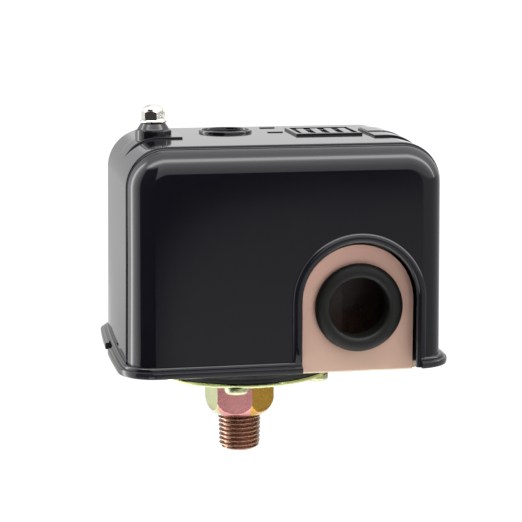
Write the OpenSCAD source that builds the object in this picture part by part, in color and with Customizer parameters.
// Pressure switch for small water pumps: moulded cover over a lever, two springs and a contact block.
// Millimetres, +Z up. Origin: port axis at the shoulder between the hexagon and the pipe thread.

/* [Port] */
// pipe thread mean diameter
thread_d = 13.2; // [12:0.1:15]
// length of the threaded nipple
thread_len = 11.2; // [8:0.2:16]
// hexagon across flats
hex_af = 19.1; // [17:0.1:24]
// hexagon height, shoulder to flange
hex_h = 14.6; // [8:0.2:20]
// turn of the hexagon about the port axis
hex_turn = -18; // [-30:1:30]
// pressure channel diameter
port_bore_d = 6; // [3:0.5:8]

/* [Pressure chamber] */
// metal flange radius
flange_r = 28.8; // [24:0.2:34]
// metal flange thickness
flange_t = 1.2; // [0.8:0.1:3]
// rubber diaphragm thickness at the rim
rubber_t = 3.0; // [1.5:0.1:4]
// circle of the flange screws
screw_pcd = 51.2; // [40:1:56]
// turn of the flange screws
screw_turn = -29.5; // [-45:1:45]

/* [Cover] */
// left side, from the port axis
cover_x0 = -38.4; // [-60:0.2:-30]
// right side, from the port axis
cover_x1 = 57.1; // [40:0.2:80]
// front face, from the port axis
cover_y = 35.4; // [28:0.2:45]
// top face height
cover_top = 88.1; // [70:0.2:110]
// bottom edge height
cover_bottom = 20.9; // [18:0.1:24]
// corner radius seen from the front
cover_r = 12; // [8:0.5:16]
// round along the front and back edges
cover_edge = 7.8; // [4:0.2:10]
// wall thickness
wall = 2.2; // [1.5:0.1:3]
// how far the bottom lip stands out
lip = 3.6; // [1:0.1:5]

/* [Cable entries] */
// position along the cover
ear_x = 31.3; // [20:0.1:40]
// grommet centre height
entry_z = 38.9; // [30:0.1:50]
// ear half width
ear_hw = 17.1; // [14:0.1:20]
// ear outer face, from the port axis
ear_y = 30.1; // [24:0.1:34]
// grommet hole radius
grommet_r = 9; // [5:0.5:10]

/* [Mechanism] */
// base plate thickness
plate_t = 2; // [1.5:0.1:3]
// main adjusting stud position
stud_x = -26.6; // [-30:0.1:-20]
// second stud position along X
stud2_x = -18; // [-22:0.1:-14]
// second stud position along Y
stud2_y = 15; // [13:0.1:18]
// lever pivot position
pivot_x = 12; // [8:0.5:16]
// lever pivot height
pivot_z = 28; // [26:0.5:32]
// contact carrier pivot position
flip_x = 20; // [18:0.5:24]
// contact carrier pivot height
flip_z = 42.5; // [40:0.5:46]

/* [Hidden] */
$fn = 64;
z_fl = hex_h;
z_rub = z_fl + flange_t;
z_pl = z_rub + rubber_t;
z_top = z_pl + plate_t;
arch_z = entry_z + 1.8;
open_hw = ear_hw + 1.2;
open_z = arch_z + 1.2;

// ---- helpers ----
module cyl(r, z0, z1, x = 0, y = 0) { translate([x, y, z0]) cylinder(r = r, h = z1 - z0); }
module ycyl(r, x, z, y0, y1) { translate([x, y1, z]) rotate([90, 0, 0]) cylinder(r = r, h = y1 - y0); }
module box3(x0, x1, y0, y1, z0, z1) { translate([x0, y0, z0]) cube([x1 - x0, y1 - y0, z1 - z0]); }
module hexa(af, z0, z1, x = 0, y = 0) {
    translate([x, y, z0]) intersection_for(a = [0, 60, 120])
        rotate([0, 0, a]) translate([-af / 2, -af, 0]) cube([af, 2 * af, z1 - z0]);
}
// five places at 72 degrees; the main stud stands at the fifth
module at4(r, turn) { for (a = [0, 72, 144, 288]) rotate([0, 0, a + turn]) translate([r, 0, 0]) children(); }

// rounded block: corner radius r seen from the front, round e along its front and back edges
module shell_body(x0, x1, yh, z0, z1, r, e) {
    yi = yh - e;
    box3(x0 + r, x1 - r, -yi, yi, z0, z1);
    box3(x0, x1, -yi, yi, z0, z1 - r);
    box3(x0 + r, x1 - r, -yh, yh, z0, z1 - r);
    box3(x0 + r, x1 - r, -yh, yh, z1 - r, z1 - e);
    box3(x0 + e, x1 - e, -yh, yh, z0, z1 - r);
    for (x = [x0 + r, x1 - r]) {
        ycyl(r, x, z1 - r, -yi, yi);
        if (r > e) ycyl(r - e, x, z1 - r, -yh, yh);
        for (s = [-1, 1]) translate([x, s * yi, z1 - r]) rotate([90, 0, 0])
            rotate_extrude() intersection() {
                translate([r - e, 0]) circle(r = e);
                translate([0, -e]) square([r, 2 * e]);
            }
    }
    for (s = [-1, 1]) {
        for (x = [x0 + e, x1 - e]) translate([x, s * yi, z0]) cylinder(r = e, h = z1 - r - z0);
        translate([x0 + r, s * yi, z1 - e]) rotate([0, 90, 0]) cylinder(r = e, h = x1 - x0 - 2 * r);
    }
}
module plan_plate(x0, x1, yh, r, z0, z1) {
    box3(x0 + r, x1 - r, -yh, yh, z0, z1);
    box3(x0, x1, -yh + r, yh - r, z0, z1);
    for (x = [x0 + r, x1 - r], y = [-yh + r, yh - r]) cyl(r, z0, z1, x, y);
}
module arch(hw, zc, y0, y1, zb) {
    ycyl(hw, ear_x - 0.3, zc, y0, y1);
    box3(ear_x - 0.3 - hw, ear_x - 0.3 + hw, y0, y1, zb, zc);
}
// wound wire with flat ends
module coil(rm, w, pitch, z0, z1, x, y, ns = 14) {
    h = z1 - z0;
    k = w / pitch * 360;
    outer = [for (i = [-3 : 3]) let (t = sin(i * 30) * k, d = w * cos(i * 30))
        [(rm + d) * cos(t), (rm + d) * sin(t)]];
    inner = [for (i = [2 : -1 : -2]) let (t = sin(i * 30) * k, d = w * cos(i * 30))
        [(rm - d) * cos(t), (rm - d) * sin(t)]];
    translate([x, y, z0])
        linear_extrude(height = h, twist = -360 * h / pitch, slices = round(ns * h / pitch), $fn = 12)
        polygon(concat(outer, inner));
}

// ---- cover ----
module cover() color([0.03, 0.03, 0.035]) {
    b = 0.45;
    difference() {
        union() {
            difference() {
                union() {
                    shell_body(cover_x0 + b, cover_x1 - b, cover_y, cover_bottom, cover_top - b,
                        cover_r - b, cover_edge - b);
                    // raised centre band
                    shell_band(cover_x0, cover_x1, cover_y - cover_edge, cover_bottom, cover_top, cover_r);
                    // bottom lip with a small bead above it
                    plan_plate(cover_x0 - lip, cover_x1 + lip, cover_y + lip, cover_edge + lip,
                        cover_bottom, cover_bottom + 2.1);
                    plan_plate(cover_x0 - 1, cover_x1 + 1, cover_y + 1, cover_edge + 1,
                        cover_bottom, cover_bottom + 3.1);
                    // raised strips over the short ends
                    shell_band(cover_x0 - 0.3, 0, 6.0, cover_bottom, cover_top + 0.55, cover_r + 0.4, [-18.3, 40.5]);
                    shell_band(0, cover_x1 + 0.3, 11.5, cover_bottom, cover_top + 0.85, cover_r + 0.5, [-18.3, 40.5]);
                }
                shell_body(cover_x0 + wall, cover_x1 - wall, cover_y - wall, cover_bottom - 1,
                    cover_top - wall, cover_r - wall, cover_edge - wall);
            }
            // boss under the cap nut
            cyl(5.6, cover_top - 6, cover_top + 2.4, stud_x, 0);
            translate([stud_x, 0, cover_top + 2.3]) cylinder(r1 = 5.1, r2 = 3.75, h = 2.2);
            // round emblem
            difference() {
                cyl(8.4, cover_top - 1, cover_top + 0.8, -2.3, 12);
                cyl(7.3, cover_top - 0.2, cover_top + 3, -2.3, 12);
            }
            // name plate with plain bars
            difference() {
                box3(17.4, 38.4, -4.2, 15.2, cover_top - 1, cover_top + 0.7);
                box3(18.5, 37.3, -3.1, 14.1, cover_top + 0.1, cover_top + 2);
            }
            for (i = [0 : 3]) box3(20 + i * 4.3, 22.6 + i * 4.3, -1.2, 12.2, cover_top - 0.1, cover_top + 0.6);
            // small marks
            for (y = [8, 22]) box3(10.4, 15.4, y - 1, y + 1, cover_top - 1, cover_top + 0.3);
            // turned-in rim around both cable entries
            for (s = [0, 1]) mirror([0, s, 0]) difference() {
                union() {
                    arch(open_hw + 2.0, open_z, -cover_y - 0.95, -cover_y + 0.6, cover_bottom);
                    arch(open_hw + 1.6, open_z, -cover_y + 0.1, -ear_y - 0.5, cover_bottom);
                }
            }
            // support ribs that stand on the base plate
            for (y = [-22, 22]) {
                box3(cover_x0 + wall - 0.4, cover_x0 + wall + 5.2, y - 0.8, y + 0.8, z_top + 0.3, cover_top - 12);
            }
            for (y = [-26, 26])
                box3(cover_x1 - wall - 5.6, cover_x1 - wall + 0.4, y - 0.8, y + 0.8, z_top + 0.3, cover_top - 12);
        }
        for (s = [0, 1]) mirror([0, s, 0]) arch(open_hw, open_z, -cover_y - 9, -ear_y + 1.5, cover_bottom - 2);
        cyl(2.4, cover_top - 10, cover_top + 9, stud_x, 0);
        // notch in the lip at the short end
        box3(cover_x0 - lip - 1, cover_x0 + 1.6, -3.6, 4.6, cover_bottom - 1, cover_bottom + 2.9);
    }
}
module shell_band(x0, x1, yh, z0, z1, r, gap = []) {
    difference() {
        union() {
            box3(x0 + r, x1 - r, -yh, yh, z0, z1);
            box3(x0, x1, -yh, yh, z0, z1 - r);
            for (x = [x0 + r, x1 - r]) ycyl(r, x, z1 - r, -yh, yh);
        }
        if (len(gap) == 2) box3(gap[0], gap[1], -yh - 1, yh + 1, z0 - 1, z1 + 1);
    }
}
module cover_nut() color([0.8, 0.8, 0.8]) {
    z = cover_top + 4.6;
    difference() {
        union() {
            cyl(4.2, z, z + 0.9, stud_x, 0);
            hexa(6.4, z + 0.8, z + 3.5, stud_x, 0);
            translate([stud_x, 0, z + 3.5]) intersection() {
                translate([0, 0, -1.9]) sphere(r = 3.95);
                cyl(3.2, -0.5, 4);
            }
        }
        cyl(2.05, z - 1, z + 4.0, stud_x, 0);
    }
}

// ---- base ----
module base_bracket() color([0.85, 0.62, 0.52]) {
    difference() {
        union() {
            plan_plate(-33, 52.4, 28.2, 6, z_pl, z_top);
            for (s = [0, 1]) mirror([0, s, 0]) {
                ycyl(ear_hw, ear_x, arch_z, -ear_y, -ear_y + plate_t);
                box3(ear_x - ear_hw, ear_x + ear_hw, -ear_y, -ear_y + plate_t, z_pl, arch_z);
                box3(ear_x - ear_hw, ear_x + ear_hw, -ear_y, -20, z_pl, z_top);
                // ears for the lever pin
                box3(pivot_x - 4, pivot_x + 4, -15.2, -13.2, z_pl, pivot_z);
                ycyl(4, pivot_x, pivot_z, -15.2, -13.2);
            }
        }
        cyl(13, z_pl - 1, z_top + 1);
        for (s = [0, 1]) mirror([0, s, 0]) ycyl(11, ear_x, entry_z, -ear_y - 1, -ear_y + plate_t + 1);
        ycyl(1.5, pivot_x, pivot_z, -20, 20);
        cyl(3, z_pl - 1, z_top + 1, stud_x, 0);
        cyl(2.5, z_pl - 1, z_top + 1, stud2_x, stud2_y);
        at4(screw_pcd / 2, screw_turn) cyl(2, z_pl - 1, z_top + 1);
        for (y = [-21, 21]) cyl(2, z_pl - 1, z_top + 1, 46.5, y);
        for (y = [-9.5, 9.5]) cyl(1.6, z_pl - 1, z_top + 1, 37, y);
    }
}
module grommet() {
    translate([ear_x, 0, entry_z]) rotate([90, 0, 0]) rotate_extrude() {
        y0 = ear_y;
        difference() {
            union() {
                translate([grommet_r, y0 - plate_t - 2]) square([2, plate_t + 4]);
                translate([grommet_r + 1, y0]) square([3.5 - 1, 1.2]);
                translate([grommet_r + 1, y0]) square([1.8, 2.9]);
                translate([13.5 - 1.7, y0 + 1.2]) circle(r = 1.7);
                translate([grommet_r + 1.5, y0 + 1.5]) circle(r = 1.5);
                translate([11.2, y0]) square([0.9, 2.7]);
                translate([grommet_r + 1, y0 - plate_t - 2]) square([2.6, 2]);
            }
            translate([10, y0 - plate_t]) translate([1, 0]) square([5, plate_t]);
        }
    }
}
module front_grommet() color([0.05, 0.05, 0.05]) grommet();
module rear_grommet() color([0.05, 0.05, 0.05]) mirror([0, 1, 0]) grommet();
module pressure_flange() color([0.75, 0.78, 0.5]) difference() {
    cyl(flange_r, z_fl, z_rub);
    cyl(6.6, z_fl - 1, z_rub + 1);
    at4(screw_pcd / 2, screw_turn) cyl(2, z_fl - 1, z_rub + 1);
}
module diaphragm() color([0.06, 0.06, 0.06]) difference() {
    cyl(flange_r - 0.4, z_rub, z_pl);
    cyl(13, z_rub - 1, z_rub + 1);
    cyl(13.4, z_rub + 1.8, z_pl + 1);
    at4(screw_pcd / 2, screw_turn) cyl(2, z_rub - 1, z_pl + 1);
}
module port_fitting() color([0.8, 0.65, 0.45]) difference() {
    union() {
        rotate([0, 0, hex_turn]) intersection() {
            rotate([0, 0, 90]) hexa(hex_af, 0, hex_h);
            union() {
                cylinder(r1 = 7.4, r2 = hex_af / 2 / cos(30) + 0.1, h = 3.6);
                cyl(hex_af / 2 / cos(30) + 0.1, 3.6, hex_h);
            }
        }
        cyl(thread_d / 2, -thread_len + 0.8, 0.5);
        translate([0, 0, -thread_len]) cylinder(r1 = thread_d / 2 - 0.8, r2 = thread_d / 2, h = 0.8);
        cyl(6.6, hex_h - 0.5, z_rub);
        cyl(8, z_rub, z_rub + 0.6);
    }
    cyl(port_bore_d / 2, -thread_len - 1, z_rub + 2);
}
module pan_screw(r, head_r, head_h, len_, slot = 0.9) {
    // head above z = 0, shank below
    difference() {
        union() {
            cyl(head_r, 0, head_h - 0.6);
            translate([0, 0, head_h - 0.6]) cylinder(r1 = head_r, r2 = head_r - 0.8, h = 0.6);
            cyl(r, -len_, 0.2);
        }
        box3(-head_r - 1, head_r + 1, -slot / 2, slot / 2, head_h - 1.2, head_h + 1);
    }
}
module flange_screws() color([0.75, 0.76, 0.6])
    at4(screw_pcd / 2, screw_turn) translate([0, 0, z_fl]) rotate([180, 0, 35]) pan_screw(2, 3.7, 2.3, 8.2);

// ---- lever and springs ----
module plunger() color([0.7, 0.7, 0.68]) {
    z0 = z_rub + 2.1;
    cyl(12.4, z0, z0 + 2.3);
    cyl(5, z0 + 2.2, z0 + 5.4);
    translate([0, 0, z0 + 5.4]) cylinder(r1 = 5, r2 = 3, h = 1.2);
}
module lever() color([0.78, 0.7, 0.5]) difference() {
    union() {
        translate([0, 0, 24.8]) linear_extrude(height = 1.6) polygon([[pivot_x + 3, -12.8],
            [pivot_x + 3, 12.8], [-5, 12.8], [-11, 21.5], [-23, 21.5], [-29, 10], [-34.4, 10],
            [-34.4, -10], [-17, -10], [-6, -12.8]]);
        for (s = [0, 1]) mirror([0, s, 0]) {
            box3(pivot_x - 4.5, pivot_x + 3, -12.8, -11.2, 24.8, pivot_z);
            box3(pivot_x - 4.5, pivot_x + 3, -12.8, -11.2, pivot_z - 0.1, pivot_z + 2);
            ycyl(3, pivot_x, pivot_z + 1, -12.8, -11.2);
        }
        box3(-34.4, -17, -10, -8.6, 24.8, 29.4);
    }
    cyl(4.2, 20, 30, stud_x, 0);
    cyl(3.6, 20, 30, stud2_x, stud2_y);
    ycyl(1.56, pivot_x, pivot_z, -20, 20);
}
module lever_pin() color([0.75, 0.75, 0.75]) {
    ycyl(1.5, pivot_x, pivot_z, -16.4, 16.4);
    for (y = [-17, 16.2]) ycyl(2.4, pivot_x, pivot_z, y, y + 0.8);
}
module pin_clips() color([0.6, 0.6, 0.62]) for (s = [0, 1]) mirror([0, s, 0])
    difference() { ycyl(2.9, flip_x, flip_z, -15.6, -14.9); ycyl(1.5, flip_x, flip_z, -16, -14); }
module range_stud() color([0.75, 0.74, 0.66]) {
    cyl(3, z_pl, 77, stud_x, 0);
    translate([stud_x, 0, 77]) cylinder(r1 = 3, r2 = 2, h = 1);
    cyl(2, 77.5, cover_top + 7.6, stud_x, 0);
    cyl(4.5, z_top, z_top + 2.2, stud_x, 0);
}
module range_lower_seat() color([0.7, 0.7, 0.7]) difference() {
    union() { cyl(8.2, 26.4, 27.6, stud_x, 0); cyl(5.2, 27.5, 29.2, stud_x, 0); }
    cyl(4.2, 20, 40, stud_x, 0);
}
module range_spring() color([0.6, 0.6, 0.6]) coil(6.6, 1.1, 5.12, 27.6, 66, stud_x, 0);
module range_upper_seat() color([0.7, 0.7, 0.7]) difference() {
    union() { cyl(8.2, 66, 67.5, stud_x, 0); cyl(5.2, 63.8, 66.1, stud_x, 0); }
    cyl(3.08, 60, 70, stud_x, 0);
}
module range_nut() color([0.75, 0.72, 0.55]) difference() {
    intersection() { hexa(10, 67.6, 72.6, stud_x, 0); cyl(5.5, 60, 80, stud_x, 0); }
    cyl(3.06, 60, 80, stud_x, 0);
}
module diff_stud() color([0.75, 0.74, 0.66]) {
    cyl(2.5, z_pl, 61, stud2_x, stud2_y);
    translate([stud2_x, stud2_y, 61]) cylinder(r1 = 2.5, r2 = 2, h = 0.6);
    cyl(3.6, z_top, z_top + 2, stud2_x, stud2_y);
}
module diff_lower_seat() color([0.7, 0.7, 0.7]) difference() {
    cyl(6, 26.4, 27.4, stud2_x, stud2_y);
    cyl(3.6, 20, 40, stud2_x, stud2_y);
}
module diff_spring() color([0.6, 0.6, 0.6]) coil(4.5, 0.8, 4.1, 27.4, 52, stud2_x, stud2_y);
module diff_upper_seat() color([0.7, 0.7, 0.7]) difference() {
    cyl(6, 52, 53.2, stud2_x, stud2_y);
    cyl(2.58, 50, 56, stud2_x, stud2_y);
}
module diff_nut() color([0.75, 0.72, 0.55]) difference() {
    intersection() { hexa(8, 53.3, 57.3, stud2_x, stud2_y); cyl(4.4, 50, 60, stud2_x, stud2_y); }
    cyl(2.56, 50, 60, stud2_x, stud2_y);
}
module snap_spring() color([0.6, 0.6, 0.6]) coil(2.5, 0.5, 2.5, 26.4, 41.4, 5.5, 0, 12);

// ---- contacts ----
module contact_block() color([0.12, 0.08, 0.06]) difference() {
    union() {
        box3(24.2, 50, -13, 13, 24.3, 36);
        for (s = [0, 1]) mirror([0, s, 0]) {
            box3(32, 50, -13, -6, z_top, 24.4);
            box3(flip_x - 3.5, 30, -14.6, -11.6, 24.3, flip_z);
            ycyl(3.5, flip_x, flip_z, -14.6, -11.6);
            box3(24.2, 50, -13, -11.6, 35, 47.4);
        }
        box3(24.2, 30.4, -0.9, 0.9, 35, 40.8);
        box3(43.6, 50, -0.9, 0.9, 35, 42);
        box3(48.6, 50, -12, 12, 35, 37);
    }
    ycyl(1.5, flip_x, flip_z, -20, 20);
    for (x = [27.2, 46.8], y = [-7, 7]) cyl(1.95, 27.5, 40, x, y);
    for (y = [-9.5, 9.5]) cyl(1.6, 20, 31, 37, y);
    box3(34.8, 39.2, -11, 11, 34.4, 40);
}
module carrier() color([0.10, 0.07, 0.05]) difference() {
    union() {
        ycyl(2.9, flip_x, flip_z, -11.2, 11.2);
        box3(flip_x, 35, -3, 3, flip_z + 0.4, flip_z + 2.9);
        box3(34.4, 39.6, -11, 11, 43, 48);
        box3(2.2, flip_x, -3.6, 3.6, flip_z - 0.8, flip_z + 1.2);
        cyl(1.7, 40.2, flip_z, 5.5, 0);
    }
    ycyl(1.56, flip_x, flip_z, -20, 20);
    for (y = [-7, 7]) { cyl(0.95, 40, 50, 37, y); cyl(2.9, 42, 44.6, 37, y); }
}
module carrier_pin() color([0.75, 0.75, 0.75]) ycyl(1.5, flip_x, flip_z, -16, 16);
module bridge_strips() color([0.8, 0.5, 0.3]) for (y = [-7, 7]) difference() {
    box3(31, 43, y - 3, y + 3, 39.2, 40.2);
    cyl(0.9, 38, 42, 37, y);
}
module bridge_tips() color([0.85, 0.85, 0.85]) for (x = [32.8, 41.2], y = [-7, 7]) cyl(1.7, 38.4, 39.2, x, y);
module bridge_springs() color([0.6, 0.6, 0.6]) for (y = [-7, 7]) coil(2.1, 0.35, 1.1, 40.2, 44.6, 37, y, 10);
module bridge_rivets() color([0.7, 0.6, 0.4]) for (y = [-7, 7]) {
    cyl(0.9, 38.8, 48.2, 37, y);
    cyl(1.6, 38.3, 39.2, 37, y);
    cyl(1.5, 48, 48.7, 37, y);
}
module strip(x0, x1, xs) for (y = [-7, 7]) difference() {
    box3(x0, x1, y - 4, y + 4, 36, 37);
    cyl(1.95, 30, 40, xs, y);
}
module line_strips() color([0.8, 0.65, 0.3]) strip(24.4, 34.6, 27.2);
module load_strips() color([0.8, 0.65, 0.3]) strip(39.4, 48.4, 46.8);
module fixed_tips() color([0.85, 0.85, 0.85]) for (x = [32.8, 41.2], y = [-7, 7]) cyl(1.7, 37, 38.1, x, y);
module terminal_clamps() color([0.8, 0.7, 0.4]) for (x = [27.2, 46.8], y = [-7, 7]) difference() {
    box3(x - 2.75, x + (x > 40 ? 1.5 : 2.75), y - 3.8, y + 3.8, 37, 38.1);
    cyl(1.95, 30, 40, x, y);
}
module terminal_screws() color([0.8, 0.75, 0.6]) for (x = [27.2, 46.8], y = [-7, 7])
    translate([x, y, 38.1]) rotate([0, 0, x * 5 + y * 9]) pan_screw(1.9, 3.0, 2.4, 10.1);
module block_screws() color([0.75, 0.74, 0.66]) for (y = [-9.5, 9.5])
    translate([37, y, z_pl]) rotate([180, 0, 40]) pan_screw(1.6, 2.9, 1.9, 11.5);
module ground_screws() color([0.1, 0.45, 0.2]) for (y = [-21, 21]) translate([46.5, y, z_top]) {
    difference() {
        union() { cyl(4.2, 0, 0.9); hexa(7, 0.8, 3.6); cyl(2, -1.9, 0.2); }
        box3(-4, 4, -0.5, 0.5, 2.5, 5);
    }
}

cover();
cover_nut();
base_bracket();
front_grommet();
rear_grommet();
pressure_flange();
diaphragm();
port_fitting();
flange_screws();
plunger();
lever();
lever_pin();
range_stud();
range_spring();
range_lower_seat();
range_upper_seat();
range_nut();
diff_stud();
diff_spring();
diff_lower_seat();
diff_upper_seat();
diff_nut();
snap_spring();
contact_block();
carrier();
carrier_pin();
bridge_strips();
bridge_tips();
bridge_springs();
bridge_rivets();
line_strips();
load_strips();
fixed_tips();
terminal_screws();
terminal_clamps();
block_screws();
ground_screws();
pin_clips();
